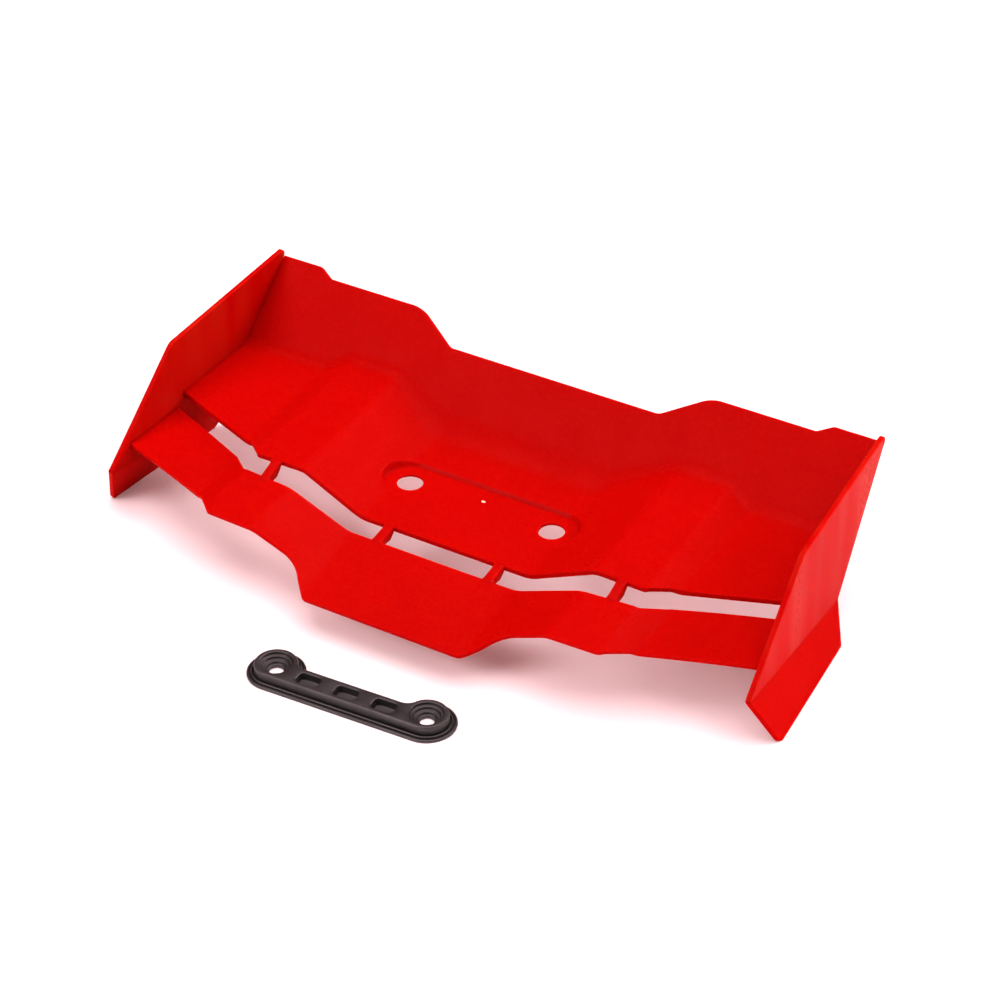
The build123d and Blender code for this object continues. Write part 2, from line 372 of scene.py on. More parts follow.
def main_height(x, y):
    floor = folded(MAIN_PANELS, x, y)
    ramp = RAMP_EDGE[1] - STAND + (y - RAMP_EDGE[0]) * math.tan(RAMP_ANGLE)
    wide = 1 - ease((np.abs(x) - 20.0) / 32.0)
    return floor + rise(ramp - floor, RAMP_ROUND[1] + (RAMP_ROUND[0] - RAMP_ROUND[1]) * wide)


def flap_height(x, y):
    return folded(FLAP_PANELS, x, y)


def plate_gap(x, y):
    """How far a point stands from the end plate's inner face."""
    return PLATE_X - (PLATE_WALL + math.sin(TOE) * y) / math.cos(TOE) - np.abs(x)


def swell(gap):
    """The fillet where a blade runs into an end plate: how much it thickens."""
    gap = np.clip(gap, 0.0, JUNCTION_R)
    return JUNCTION_R - np.sqrt(np.maximum(JUNCTION_R ** 2 - (JUNCTION_R - gap) ** 2, 0))


def blade_faces(height, wall, plan):
    """Upper face, lower face and normal of a blade over its plan."""
    x, y = plan[:, 0], plan[:, 1]
    nudge = 0.05
    z = height(x, y)
    slope_x = (height(x + nudge, y) - height(x - nudge, y)) / (2 * nudge)
    slope_y = (height(x, y + nudge) - height(x, y - nudge)) / (2 * nudge)
    normal = unit(np.stack([-slope_x, -slope_y, np.ones_like(z)], axis=1))
    top = np.stack([x, y, z], axis=1)
    fillet = swell(plate_gap(x, y)) * (1 - ease((y - 45.0) / 6.0))
    return top + normal * fillet[:, None], top - normal * (wall + fillet)[:, None], normal


def stadium(x, y, radius):
    """Distance outside a slot-shaped outline round the two holes; negative inside."""
    reach = np.hypot(np.maximum(np.abs(x) - HOLE_SPACING / 2, 0), y)
    return reach - radius


def main_faces(plan):
    top, under, normal = blade_faces(main_height, MAIN_WALL, plan)
    x, y = plan[:, 0], plan[:, 1]
    height = top[:, 2].copy()
    # recess: a level seat that runs out into the falling floor at the front
    seat = height - rise(height, SEAT_EDGE_ROUND)
    edge = stadium(x, y, SEAT_R)
    wall = ease((edge + SEAT_WALL_INSIDE) / SEAT_WALL_WIDTH)
    top[:, 2] = seat + (height - seat) * wall
    # pad under the seat
    pad = 1 - ease((stadium(x, y, PAD_R) + PAD_RUN_OUT) / PAD_RUN_OUT)
    below = np.minimum(under[:, 2], -PAD_WALL)
    under[:, 2] += (below - under[:, 2]) * pad
    # a soft countersink round each hole
    for side in (-1, 1):
        ring = np.hypot(x - side * HOLE_SPACING / 2, y) - HOLE_R
        top[:, 2] -= SINK_DEPTH * (1 - ease(ring / SINK_WIDTH)) * (ring < SINK_WIDTH)
    return top, under, normal


def flap_faces(plan):
    return blade_faces(flap_height, FLAP_WALL, plan)


def cut_at_plate(corners):
    """End an outline just inside the end plate's wall."""
    (x0, y0), (x1, y1) = corners[-2:]
    g0, g1 = plate_gap(x0, y0) + SUNK, plate_gap(x1, y1) + SUNK
    share = g0 / (g0 - g1)
    return corners[:-1] + [(x0 + (x1 - x0) * share, y0 + (y1 - y0) * share)]


def near_plate(point):
    return plate_gap(point[0], point[1]) < 1.7


def edge_path(corners, radii):
    corners, radii = both_sides(cut_at_plate(corners), radii)
    return refined(rounded_path(corners, radii, EDGE_STEP), near_plate, EDGE_STEP_BY_PLATE)


def flare_out(path, direction):
    """Move an edge outwards where it meets the end plates, as a fillet does."""
    path = path.copy()
    path[:, 1] += direction * swell(plate_gap(path[:, 0], path[:, 1])) * 0.9
    return path


def closed_outline(front, rear):
    """Front edge from left to right, then the rear edge back again, with the sides between."""
    rear = rear[::-1]
    sides = []
    for a, b in ((front[-1], rear[0]), (rear[-1], front[0])):
        pieces = math.ceil(np.linalg.norm(b - a))
        sides.append(np.array([a + (b - a) * k / pieces for k in range(1, pieces)]))
    return np.concatenate([front, sides[0], rear, sides[1]])


def around(centre, reach, step):
    """Places on both sides of a centre, close together."""
    return [centre + k * step for k in range(-int(reach / step), int(reach / step) + 1)]


def blade_points(front_y, rear_y, extra_y=()):
    """Where the faces of a blade need points: a net, denser across folds and beside the plates."""
    # each fold's place, how far the dense points reach, and their step
    folds = [(TROUGH_X, 6.0, 0.75), (SHOULDER_IN_X, 4.0, 0.6),
             (SHOULDER_OUT_X, 2.1, 0.3), (STEP_OUT_X, 2.4, 0.3)]
    xs = set(np.arange(0, 110, 1.6).round(3))
    for centre, reach, step in folds:
        xs = {x for x in xs if abs(x - centre) > reach + step * 0.6}
        xs |= {round(x, 3) for x in around(centre, reach, step)}
    xs = sorted(xs | {-x for x in xs})
    ys = sorted(set(np.arange(front_y, rear_y, NET_STEP).round(3)) | set(np.round(extra_y, 3)))
    net = np.array([(x, y) for x in xs for y in ys])
    net = net[plate_gap(net[:, 0], net[:, 1]) > 1.9]
    beside = []
    for gap in (-0.35, 0.0, 0.05, 0.12, 0.22, 0.35, 0.5, 0.68, 0.85, 1.05, 1.4):
        for y in np.arange(front_y, rear_y, 0.7):
            x = plate_gap(0.0, y) - gap
            beside += [(x, y), (-x, y)]
    return np.concatenate([net, np.array(beside)])


def circle(centre, radius, count, clockwise=False):
    turn = np.arange(count) / count * 2 * math.pi * (-1 if clockwise else 1)
    return np.stack([centre[0] + radius * np.cos(turn), centre[1] + radius * np.sin(turn)], axis=1)


def stadium_loop(radius, step):
    ends = math.ceil(math.pi * radius / step)
    run = math.ceil(HOLE_SPACING / step)
    right = [(HOLE_SPACING / 2 + radius * math.sin(t), -radius * math.cos(t))
             for t in np.linspace(0, math.pi, ends, endpoint=False)]
    top = [(HOLE_SPACING / 2 - HOLE_SPACING * k / run, radius) for k in range(run)]
    half = right + top
    return np.array(half + [(-x, -y) for x, y in half])


def make_main_plane():
    front = flare_out(edge_path(LIP, LIP_R), -1)
    # drawn up the slope of the ramp, then laid down in plan
    level_corners = [(x, RAMP_EDGE[0] + up * math.cos(RAMP_ANGLE)) for x, up in TRAILING_EDGE]
    end = cut_at_plate(level_corners)[-1]
    half = TRAILING_EDGE[:-1] + [(end[0], TRAILING_EDGE[-1][1])]
    corners, radii = both_sides(half, TRAILING_EDGE_R)
    rear = rounded_path(corners, radii, EDGE_STEP)
    rear[:, 1] = RAMP_EDGE[0] + rear[:, 1] * math.cos(RAMP_ANGLE)
    rear = refined(rear, near_plate, EDGE_STEP_BY_PLATE)
    loops = [closed_outline(front, rear)]
    for side in (-1, 1):
        loops.append(circle((side * HOLE_SPACING / 2, 0), HOLE_R, HOLE_POINTS, clockwise=True))
    points = blade_points(-24.0, 54.0, np.arange(20, 46, 0.9))
    # the recess has its own rings of points, and so have the holes
    seat_rings = (-1.0, -0.8, -0.66, -0.53, -0.4, -0.27, -0.14, 0.0, 0.12, 0.25, 0.45)
    rings = [stadium_loop(SEAT_R + d, 0.6) for d in seat_rings]
    band = np.abs(stadium(points[:, 0], points[:, 1], SEAT_R) + 0.3)
    points = points[band > 1.1]
    for side in (-1, 1):
        centre = (side * HOLE_SPACING / 2, 0)
        far = np.hypot(points[:, 0] - centre[0], points[:, 1]) > HOLE_R + 2.2
        points = points[far]
        rings += [circle(centre, HOLE_R + d, HOLE_POINTS) for d in (0.7, 0.85, 1.0)]
        rings += [circle(centre, HOLE_R + d, 60) for d in (1.4, 1.9)]
    points = np.concatenate([points] + rings)
    verts, faces, _, normals = shell(main_faces, loops, points)
    return tidy_mesh(verts, faces, normals)


def make_flap():
    front = flare_out(edge_path(FLAP_FRONT, FLAP_FRONT_R), -1)
    rear = flare_out(edge_path(FLAP_REAR, FLAP_REAR_R), 1)
    outline = [closed_outline(front, rear)]
    verts, faces, _, normals = shell(flap_faces, outline, blade_points(-58.0, -2.0))
    return tidy_mesh(verts, faces, normals)


# ---------------------------------------------------------------- end plates and fins

side_normal = np.array([math.cos(TOE), math.sin(TOE), 0.0])
plate_back = np.array([-math.sin(TOE), math.cos(TOE), 0.0])
plate_origin = np.array([PLATE_X, 0.0, -STAND])


def on_plate(corner):
    return plate_origin + plate_back * corner[0] + np.array([0, 0, 1.0]) * corner[1]


crease_start, crease_end = on_plate(CREASE_FRONT), on_plate(CREASE_REAR)
crease_length = float(np.linalg.norm(crease_end - crease_start))
crease = (crease_end - crease_start) / crease_length
plate_up = np.cross(side_normal, crease)
fin_normal = np.array(Matrix.Rotation(-FLARE, 3, Vector(crease)) @ Vector(side_normal))
fin_up = np.cross(fin_normal, crease)


def plate_faces(plan):
    """Outer and inner face of the end plate and fin: along the crease, and up from it."""
    along, up = plan[:, 0], plan[:, 1]
    above, below = rise(up, CREASE_ROUND), rise(-up, CREASE_ROUND)
    outer = crease_start + np.outer(along, crease) + np.outer(above, plate_up) - np.outer(below, fin_up)
    share = np.clip((up + CREASE_ROUND) / (2 * CREASE_ROUND), 0, 1)
    climb = np.outer(share, plate_up) + np.outer(1 - share, fin_up)
    normal = unit(np.cross(crease, climb))
    return outer, outer - normal * PLATE_WALL, normal


def to_crease(corner):
    offset = on_plate(corner) - crease_start
    return (float(offset @ crease), float(offset @ plate_up))


def foot_corner(top, bottom):
    """Where a fin's edge reaches the standing surface."""
    def height(corner):
        return (crease_start + crease * corner[0] + fin_up * corner[1])[2] + STAND
    share = height(top) / (height(top) - height(bottom))
    return tuple(t + (b - t) * share for t, b in zip(top, bottom))


def make_plate_and_fin():
    """One folded sheet, cut at the crease into the end plate and the fin."""
    corners = [to_crease(PLATE_TOP_REAR), to_crease(PLATE_TOP_FRONT), (0.0, 0.0),
               foot_corner((0.0, 0.0), FIN_FRONT), foot_corner((crease_length, 0.0), FIN_REAR),
               (crease_length, 0.0)]
    loop = rounded_path(corners, [1.5, 5.0, 0.0, 3.0, 1.5, 0.0], EDGE_STEP, closed=True)
    across = (0.0, 0.25, 0.5, 0.8, 1.1, 1.4, 1.7, 2.1)
    net = [(a, b) for a in np.arange(-1, 92, 1.5) for b in np.arange(2.9, 42, 1.5)]
    net += [(a, -b) for a in np.arange(-1, 66, 1.5) for b in np.arange(2.9, 20, 1.5)]
    net += [(a, s * b) for a in np.arange(1.3, crease_length - 1.0, 1.0) for b in across for s in (-1, 1)]
    net = np.unique(np.array(net).round(4), axis=0)

    def seam(plan, rings):
        """A line of edges along the crease, from rim to rim."""
        on = [i for i, (a, b) in enumerate(plan) if abs(b) < 1e-6 and i >= len(rings)]
        ends = [int(np.argmin(np.hypot(rings[:, 0] - a, rings[:, 1]))) for a in (0.7, crease_length - 0.7)]
        line = [ends[0]] + sorted(on, key=lambda i: plan[i][0]) + [ends[1]]
        return list(zip(line, line[1:]))

    verts, faces, plans, normals = shell(plate_faces, [loop], net, seam=seam)
    verts[:, 2] = np.maximum(verts[:, 2], -STAND)
    return verts, faces, plans, normals


def cut_piece(name, verts, faces, chosen, normals, mirrored, material):
    """One part of a cut mesh, closed by a cap, shaded as if it weren't cut."""
    faces = [f for f, pick in zip(faces, chosen) if pick]
    used = sorted({i for f in faces for i in f})
    number = {old: new for new, old in enumerate(used)}
    verts, normals = verts[used].copy(), normals[used].copy()
    faces = [tuple(number[i] for i in f) for f in faces]
    if mirrored:
        verts[:, 0] *= -1
        normals[:, 0] *= -1
        faces = [f[::-1] for f in faces]
    piece = new_object(name, verts, faces, None, material)
    bm = bmesh.new()
    bm.from_mesh(piece.data)
    open_edges = [e for e in bm.edges if e.is_boundary]
    caps = bmesh.ops.holes_fill(bm, edges=open_edges, sides=0)["faces"]
    bmesh.ops.recalc_face_normals(bm, faces=caps)
    for face in caps:
        face.smooth = False
        for edge in face.edges:
            edge.smooth = False
    bmesh.ops.triangulate(bm, faces=caps)
    bm.to_mesh(piece.data)
    bm.free()
    mesh = piece.data
    split = np.zeros((len(mesh.loops), 3))
    for poly in mesh.polygons:
        for loop in poly.loop_indices:
            split[loop] = normals[mesh.loops[loop].vertex_index] if poly.use_smooth else poly.normal
    mesh.normals_split_custom_set([tuple(n) for n in split])
    return piece


# ---------------------------------------------------------------- ribs

def edge_y(edge, x):
    """Where an edge drawn by its corners stands at a given place along the span."""
    if x <= edge[0][0]:
        return edge[0][1]
    for (x0, y0), (x1, y1) in zip(edge, edge[1:]):
        if x <= x1:
            return y0 + (y1 - y0) * (x - x0) / (x1 - x0)
    return edge[-1][1]


def make_rib(centre_x):
    """A rounded bar from lip to flap, flaring at both ends, with a curved belly."""
    rear, front = edge_y(LIP, centre_x), edge_y(FLAP_REAR, centre_x)
    top_rear = float(main_height(np.array(centre_x), np.array(rear)))
    top_front = float(flap_height(np.array(centre_x), np.array(front)))
    slope_rear, slope_front = 0.12, 0.15
    stations, around_count = 34, 28
    verts, faces = [], []
    start, end = rear + RIB_REACH_REAR, front - RIB_REACH_FRONT
    for i in range(stations + 1):
        y = start + (end - start) * i / stations
        share = np.clip((rear - y) / (rear - front), 0, 1)
        line = top_rear + (top_front - top_rear) * share
        line += slope_rear * max(y - rear, 0) - slope_front * max(front - y, 0)
        # ends sink into the blades; the middle stands a touch proud of them
        sink = 0.5 * (1 - ease((start - y) / 1.6)) + 0.55 * (1 - ease((y - end) / 1.9))
        top = line + RIB_PROUD - sink
        # the belly is deepest a quarter of the way from the lip
        depth = min(share / RIB_BELLY_AT, (1 - share) / (1 - RIB_BELLY_AT))
        bottom = line - RIB_EDGE - RIB_BELLY * math.sqrt(max(depth, 0.0))
        gap_rear, gap_front = max(rear - y, 0), max(y - front, 0)
        flare = 0.25 * math.exp(-(gap_rear / 0.5) ** 1.3) + 0.15 * math.exp(-(gap_front / 0.6) ** 1.3)
        half = RIB_WALL / 2 + flare
        middle, tall = (top + bottom) / 2, (top - bottom) / 2
        for k in range(around_count):
            turn = 2 * math.pi * k / around_count
            c, s = math.cos(turn), math.sin(turn)
            verts.append((centre_x + half * math.copysign(abs(c) ** RIB_SQUARENESS, c), y,
                          middle + tall * math.copysign(abs(s) ** RIB_SQUARENESS, s)))
    for i in range(stations):
        for k in range(around_count):
            a, b = i * around_count + k, i * around_count + (k + 1) % around_count
            faces.append((a, a + around_count, b + around_count, b))
    faces.append(tuple(range(around_count)))
    faces.append(tuple(reversed(range(stations * around_count, (stations + 1) * around_count))))
    return np.array(verts), faces


def make_gate_mark():
    """The cut-off sprue: a low oval button, a little sunk at its middle, on the recess floor."""
    x0, y0 = GATE_AT
    floor = float(main_faces(np.array([[x0, y0]]))[0][0, 2])
    rings = [(0.0, 0.07), (0.35, 0.08), (0.6, 0.12), (0.78, 0.13), (0.9, 0.10), (0.97, 0.04), (1.0, -0.06)]
    count = 32
    verts, faces = [(x0, y0, floor + rings[0][1])], []
    for share, height in rings[1:]:
        for k in range(count):
            turn = 2 * math.pi * k / count
            uneven = 1 + 0.06 * math.sin(3 * turn + 0.6) + 0.03 * math.sin(7 * turn)
            verts.append((x0 + GATE_SIZE[0] / 2 * share * uneven * math.cos(turn),
                          y0 + GATE_SIZE[1] / 2 * share * uneven * math.sin(turn), floor + height))
    for k in range(count):
        faces.append((0, 1 + k, 1 + (k + 1) % count))
    for row in range(len(rings) - 2):
        for k in range(count):
            a, b = 1 + row * count + k, 1 + row * count + (k + 1) % count
            faces.append((a, a + count, b + count, b))
    last = 1 + (len(rings) - 2) * count
    faces.append(tuple(last + k for k in reversed(range(count))))
    return np.array(verts), faces


# ---------------------------------------------------------------- clamp plate

def clamp_outline(growth, step=0.35):
    """The dog-bone outline, as (x, y) round its own middle, grown outwards."""
    boss = HOLE_SPACING / 2
    # tangent point of the neck fillet between the boss and the web's rear edge
    reach = math.sqrt((BOSS_R + NECK_R) ** 2 - (WEB_REAR + NECK_R) ** 2)
    neck = (boss - reach, WEB_REAR + NECK_R)
    touch = math.atan2(neck[1], neck[0] - boss)
    arcs = [((boss, 0.0), BOSS_R, -math.pi / 2, touch, 1),
            (neck, NECK_R, touch - math.pi, -math.pi / 2, -1)]
    half = []
    for centre, radius, start, end, sign in arcs:
        turns = math.ceil(abs(end - start) * radius / step)
        for k in range(turns + 1):
            t = start + (end - start) * k / turns
            r = radius + sign * growth
            half.append((centre[0] + r * math.cos(t), centre[1] + r * math.sin(t)))
    rear = WEB_REAR + growth
    run = math.ceil(2 * half[-1][0] / RUN_STEP)
    back = [(half[-1][0] * (1 - 2 * k / run), rear) for k in range(1, run)]
    front_run = math.ceil(HOLE_SPACING / RUN_STEP)
    front = [(-boss + HOLE_SPACING * k / front_run, -(BOSS_R + growth)) for k in range(1, front_run)]
    return np.array(half + back + [(-x, y) for x, y in reversed(half)] + front)


def swept(loops_at, profile):
    """Rings joined by quads: loops_at(offset) gives the plan loop, profile is (offset, z)."""
    verts, faces = [], []
    for row, (offset, z) in enumerate(profile):
        loop = loops_at(offset)
        size = len(loop)
        verts += [(x, y, z) for x, y in loop]
        if row:
            for i in range(size):
                j = (i + 1) % size
                above, below = (row - 1) * size, row * size
                faces.append((above + i, below + i, below + j, above + j))
    return verts, faces


def rounded_box(width, depth, radius, centre):
    """A rectangle with rounded corners, as a closed loop of points."""
    w, d = width / 2 - radius, depth / 2 - radius
    points = []
    for cx, cy, start in ((w, -d, -90), (w, d, 0), (-w, d, 90), (-w, -d, 180)):
        turns = 10
        for k in range(turns + 1):
            t = math.radians(start + 90 * k / turns)
            points.append((cx + radius * math.cos(t), cy + radius * math.sin(t)))
    out = []
    for a, b in zip(points, points[1:] + points[:1]):
        pieces = max(1, math.ceil(math.dist(a, b) / 0.6))
        out += [(a[0] + (b[0] - a[0]) * k / pieces, a[1] + (b[1] - a[1]) * k / pieces) for k in range(pieces)]
    return np.array(out) + np.array(centre)


def filled(loops, z, bottom=False):
    """A level face between an outer loop and its holes."""
    out, tris, _ = triangulated(np.concatenate(loops), loops)
    if bottom:
        tris = tris[:, ::-1]
    return [(x, y, z) for x, y in out], [tuple(t) for t in tris]


def joined(parts):
    verts, faces = [], []
    for part_verts, part_faces in parts:
        base = len(verts)
        verts += [tuple(v) for v in part_verts]
        faces += [tuple(i + base for i in f) for f in part_faces]
    return np.array(verts), faces


# Profiles of the clamp plate, each as (distance outwards, height): the raised wall, the flange round it,
# the stepped bore (as radii) and a pocket
CLAMP_WALL = [(-0.55, CLAMP_TOP), (-0.42, 3.88), (-0.28, 3.82), (-0.16, 3.71), (-0.07, 3.58), (-0.02, 3.42),
              (0.0, 3.2), (0.0, 2.4), (0.0, 1.6), (0.0, 1.0)]
CLAMP_FLANGE = [(0.0, 0.75), (0.06, 0.62), (0.14, 0.58), (0.26, 0.60), (0.38, 0.72), (0.44, 0.95),
                (0.5, 1.15), (0.58, 1.26), (0.70, 1.31), (0.82, 1.30), (0.94, 1.24), (1.02, 1.14),
                (1.07, 0.95), (1.12, 0.6), (1.18, 0.42), (1.28, 0.36), (1.40, 0.40), (1.46, 0.52),
                (1.5, 0.70), (1.56, 0.82), (1.66, 0.89), (1.80, 0.91), (1.95, 0.90), (2.10, 0.84),
                (2.2, 0.73), (2.25, 0.58), (2.27, 0.4), (2.27, 0.16), (2.22, 0.05), (2.12, 0.0)]
CLAMP_BORE = [(5.25, CLAMP_TOP), (5.1, 3.86), (4.98, 3.76), (4.92, 3.6), (4.9, 3.3), (4.88, 3.05),
              (4.8, 2.95), (4.6, 2.9), (4.25, 2.9), (4.1, 2.87), (4.02, 2.78), (4.0, 2.6),
              (3.98, 2.2), (3.9, 2.05), (3.7, 2.0), (3.1, 2.0), (2.95, 1.96), (2.87, 1.85),
              (2.85, 1.7), (2.83, 1.3), (2.75, 1.15), (2.6, 1.1), (2.35, 1.1), (2.22, 1.05),
              (2.16, 0.95), (2.15, 0.8), (2.15, 0.2), (2.2, 0.06), (2.3, 0.0)]
CLAMP_POCKET = [(0.28, CLAMP_TOP), (0.16, 3.87), (0.06, 3.78), (0.0, 3.62), (-0.04, 3.0),
                (-0.08, 2.0), (-0.12, 1.6), (-0.22, 1.4), (-0.42, POCKET_FLOOR)]


def make_clamp_plate():
    """The wall and flange swept round the outline, the bores and pockets, and the level faces between."""
    parts = [swept(clamp_outline, CLAMP_WALL + CLAMP_FLANGE)]
    top_loops, base_loops = [clamp_outline(CLAMP_WALL[0][0])], [clamp_outline(CLAMP_FLANGE[-1][0])]
    for x in (-HOLE_SPACING / 2, HOLE_SPACING / 2):
        def bore_loop(radius, x=x):
            return circle((x, 0.0), radius, BORE_POINTS)
        parts.append(swept(bore_loop, CLAMP_BORE))
        top_loops.append(bore_loop(CLAMP_BORE[0][0]))
        base_loops.append(bore_loop(CLAMP_BORE[-1][0]))
    for place in (-1, 0, 1):
        def pocket_loop(growth, centre=(place * POCKET_PITCH, POCKET_Y)):
            width, depth = POCKET_SIZE
            return rounded_box(width + 2 * growth, depth + 2 * growth, POCKET_R + growth, centre)
        parts.append(swept(pocket_loop, CLAMP_POCKET))
        top_loops.append(pocket_loop(CLAMP_POCKET[0][0]))
        parts.append(filled([pocket_loop(CLAMP_POCKET[-1][0])], POCKET_FLOOR))
    parts.append(filled(top_loops, CLAMP_TOP))
    parts.append(filled(base_loops, 0.0, bottom=True))
    verts, faces = joined(parts)
    c, s = math.cos(CLAMP_YAW), math.sin(CLAMP_YAW)
    x, y, z = verts[:, 0], verts[:, 1], verts[:, 2]
    placed = np.stack([CLAMP_AT[0] + c * x - s * y, CLAMP_AT[1] + s * x + c * y, z - STAND], axis=1)
    return placed, faces


def welded(piece, distance=0.004):
    """Join the points that parts of a mesh share, and turn every face outwards."""
    bm = bmesh.new()
    bm.from_mesh(piece.data)
    bmesh.ops.remove_doubles(bm, verts=bm.verts, dist=distance * MM)
    bmesh.ops.recalc_face_normals(bm, faces=bm.faces)
    bm.to_mesh(piece.data)
    bm.free()


# ---------------------------------------------------------------- materials

def node_group(name, inputs, outputs):
    """An empty shader group with its sockets; returns the group, its way in and its way out."""
    group = bpy.data.node_groups.new(name, "ShaderNodeTree")
    for label, kind, value in inputs:
        socket = group.interface.new_socket(name=label, in_out="INPUT", socket_type=kind)
        if value is not None:
            socket.default_value = value
    for label, kind in outputs:
        group.interface.new_socket(name=label, in_out="OUTPUT", socket_type=kind)
    return group, group.nodes.new("NodeGroupInput"), group.nodes.new("NodeGroupOutput")


def math_node(tree, operation, first, second):
    node = tree.nodes.new("ShaderNodeMath")
    node.operation = operation
    for slot, value in zip(node.inputs, (first, second)):
        if isinstance(value, (int, float)):
            slot.default_value = value
        else:
            tree.links.new(value, slot)
    return node.outputs[0]


def noise_node(tree, vector, scale, detail, roughness=0.5):
    node = tree.nodes.new("ShaderNodeTexNoise")
    tree.links.new(vector, node.inputs["Vector"])
    tree.links.new(scale, node.inputs["Scale"])
    node.inputs["Detail"].default_value = detail
    node.inputs["Roughness"].default_value = roughness
    return node.outputs["Fac"]


def spread(tree, value, low, high, out_low=0.0, out_high=1.0):
    """Map a stretch of values to another, held at both ends."""
    node = tree.nodes.new("ShaderNodeMapRange")
    tree.links.new(value, node.inputs["Value"])
    for label, number in (("From Min", low), ("From Max", high), ("To Min", out_low), ("To Max", out_high)):
        node.inputs[label].default_value = number
    return node.outputs["Result"]


def mixed_colour(tree, share, first, second):
    node = tree.nodes.new("ShaderNodeMix")
    node.data_type = "RGBA"
    # sockets 0, 6 and 7 are the factor and the two colours of this data type
    for slot, value in ((node.inputs[0], share), (node.inputs[6], first), (node.inputs[7], second)):
        tree.links.new(value, slot)
    return node.outputs[2]


def mould_grain_group():
    """The fine matt grain of the mould: a height for bumps and a speckle for colour."""
    group, way_in, way_out = node_group(
        "mould_grain",
        [("Vector", "NodeSocketVector", None), ("Grains per metre", "NodeSocketFloat", 1100.0),
         ("Coarse share", "NodeSocketFloat", 0.35)],
        [("Height", "NodeSocketFloat"), ("Speckle", "NodeSocketFloat")])
    vector, grains = way_in.outputs["Vector"], way_in.outputs["Grains per metre"]
    fine = noise_node(group, vector, grains, 2.0, 0.6)
    coarse = noise_node(group, vector, math_node(group, "MULTIPLY", grains, 0.3), 1.0)
    cells = group.nodes.new("ShaderNodeTexVoronoi")
    group.links.new(vector, cells.inputs["Vector"])
    group.links.new(math_node(group, "MULTIPLY", grains, 0.8), cells.inputs["Scale"])
    pits = spread(group, cells.outputs["Distance"], 0.05, 0.55)
    height = math_node(group, "ADD", math_node(group, "MULTIPLY", coarse, way_in.outputs["Coarse share"]),
                       math_node(group, "MULTIPLY", fine, 0.6))
    height = math_node(group, "ADD", height, math_node(group, "MULTIPLY", pits, 0.25))
    group.links.new(height, way_out.inputs["Height"])
    group.links.new(spread(group, fine, 0.42, 0.68), way_out.inputs["Speckle"])
    return group


def melt_flow_group():
    """Slow changes of tone where the melt ran: broad clouds, and streaks along one axis."""
    group, way_in, way_out = node_group(
        "melt_flow",
        [("Vector", "NodeSocketVector", None), ("Streak vector", "NodeSocketVector", None),
         ("Clouds per metre", "NodeSocketFloat", 22.0), ("Streaks per metre", "NodeSocketFloat", 70.0)],
        [("Clouds", "NodeSocketFloat"), ("Streaks", "NodeSocketFloat")])
    clouds = noise_node(group, way_in.outputs["Vector"], way_in.outputs["Clouds per metre"], 3.0)
    streaks = noise_node(group, way_in.outputs["Streak vector"], way_in.outputs["Streaks per metre"], 2.0)
    group.links.new(spread(group, clouds, 0.35, 0.65), way_out.inputs["Clouds"])
    group.links.new(spread(group, streaks, 0.38, 0.66), way_out.inputs["Streaks"])
    return group


def nylon_tone_group():
    """Base colour of moulded nylon: a main tone, a deeper one in clouds, and a lighter grain."""
    group, way_in, way_out = node_group(
        "nylon_tone",
        [("Main", "NodeSocketColor", (0.5, 0.5, 0.5, 1)), ("Deep", "NodeSocketColor", (0.4, 0.4, 0.4, 1)),
         ("Grain", "NodeSocketColor", (0.6, 0.6, 0.6, 1)), ("Clouds", "NodeSocketFloat", 0.5),
         ("Speckle", "NodeSocketFloat", 0.5), ("Cloud amount", "NodeSocketFloat", 0.5),
         ("Grain amount", "NodeSocketFloat", 0.3), ("Streaks", "NodeSocketFloat", 0.5),
         ("Streak colour", "NodeSocketColor", (0.6, 0.6, 0.6, 1)), ("Streak amount", "NodeSocketFloat", 0.0)],
        [("Colour", "NodeSocketColor")])
    inputs = way_in.outputs
    cloudy = math_node(group, "MULTIPLY", inputs["Clouds"], inputs["Cloud amount"])
    toned = mixed_colour(group, cloudy, inputs["Main"], inputs["Deep"])
    streaky = math_node(group, "MULTIPLY", inputs["Streaks"], inputs["Streak amount"])
    toned = mixed_colour(group, streaky, toned, inputs["Streak colour"])
    grainy = math_node(group, "MULTIPLY", inputs["Speckle"], inputs["Grain amount"])
    group.links.new(mixed_colour(group, grainy, toned, inputs["Grain"]), way_out.inputs["Colour"])
    return group


def matt_sheen_group():
    """Roughness of a moulded face: duller in the grain, glossier along the streaks."""
    group, way_in, way_out = node_group(
        "matt_sheen",
        [("Middle", "NodeSocketFloat", 0.5), ("Streaks", "NodeSocketFloat", 0.5),
         ("Speckle", "NodeSocketFloat", 0.5), ("Streak depth", "NodeSocketFloat", 0.08),
         ("Grain depth", "NodeSocketFloat", 0.06)],
        [("Roughness", "NodeSocketFloat")])
    inputs = way_in.outputs
    level = math_node(group, "SUBTRACT", inputs["Middle"],
                      math_node(group, "MULTIPLY", inputs["Streaks"], inputs["Streak depth"]))
    grainy = math_node(group, "MULTIPLY", inputs["Speckle"], inputs["Grain depth"])
    level = math_node(group, "ADD", level, grainy)
    group.links.new(level, way_out.inputs["Roughness"])
    return group


mould_grain, melt_flow = mould_grain_group(), melt_flow_group()
nylon_tone, matt_sheen = nylon_tone_group(), matt_sheen_group()


def placed_group(tree, group, links, values):
    node = tree.nodes.new("ShaderNodeGroup")
    node.node_tree = group
    for label, source in links.items():
        tree.links.new(source, node.inputs[label])
    for label, value in values.items():
        node.inputs[label].default_value = value
    return node.outputs


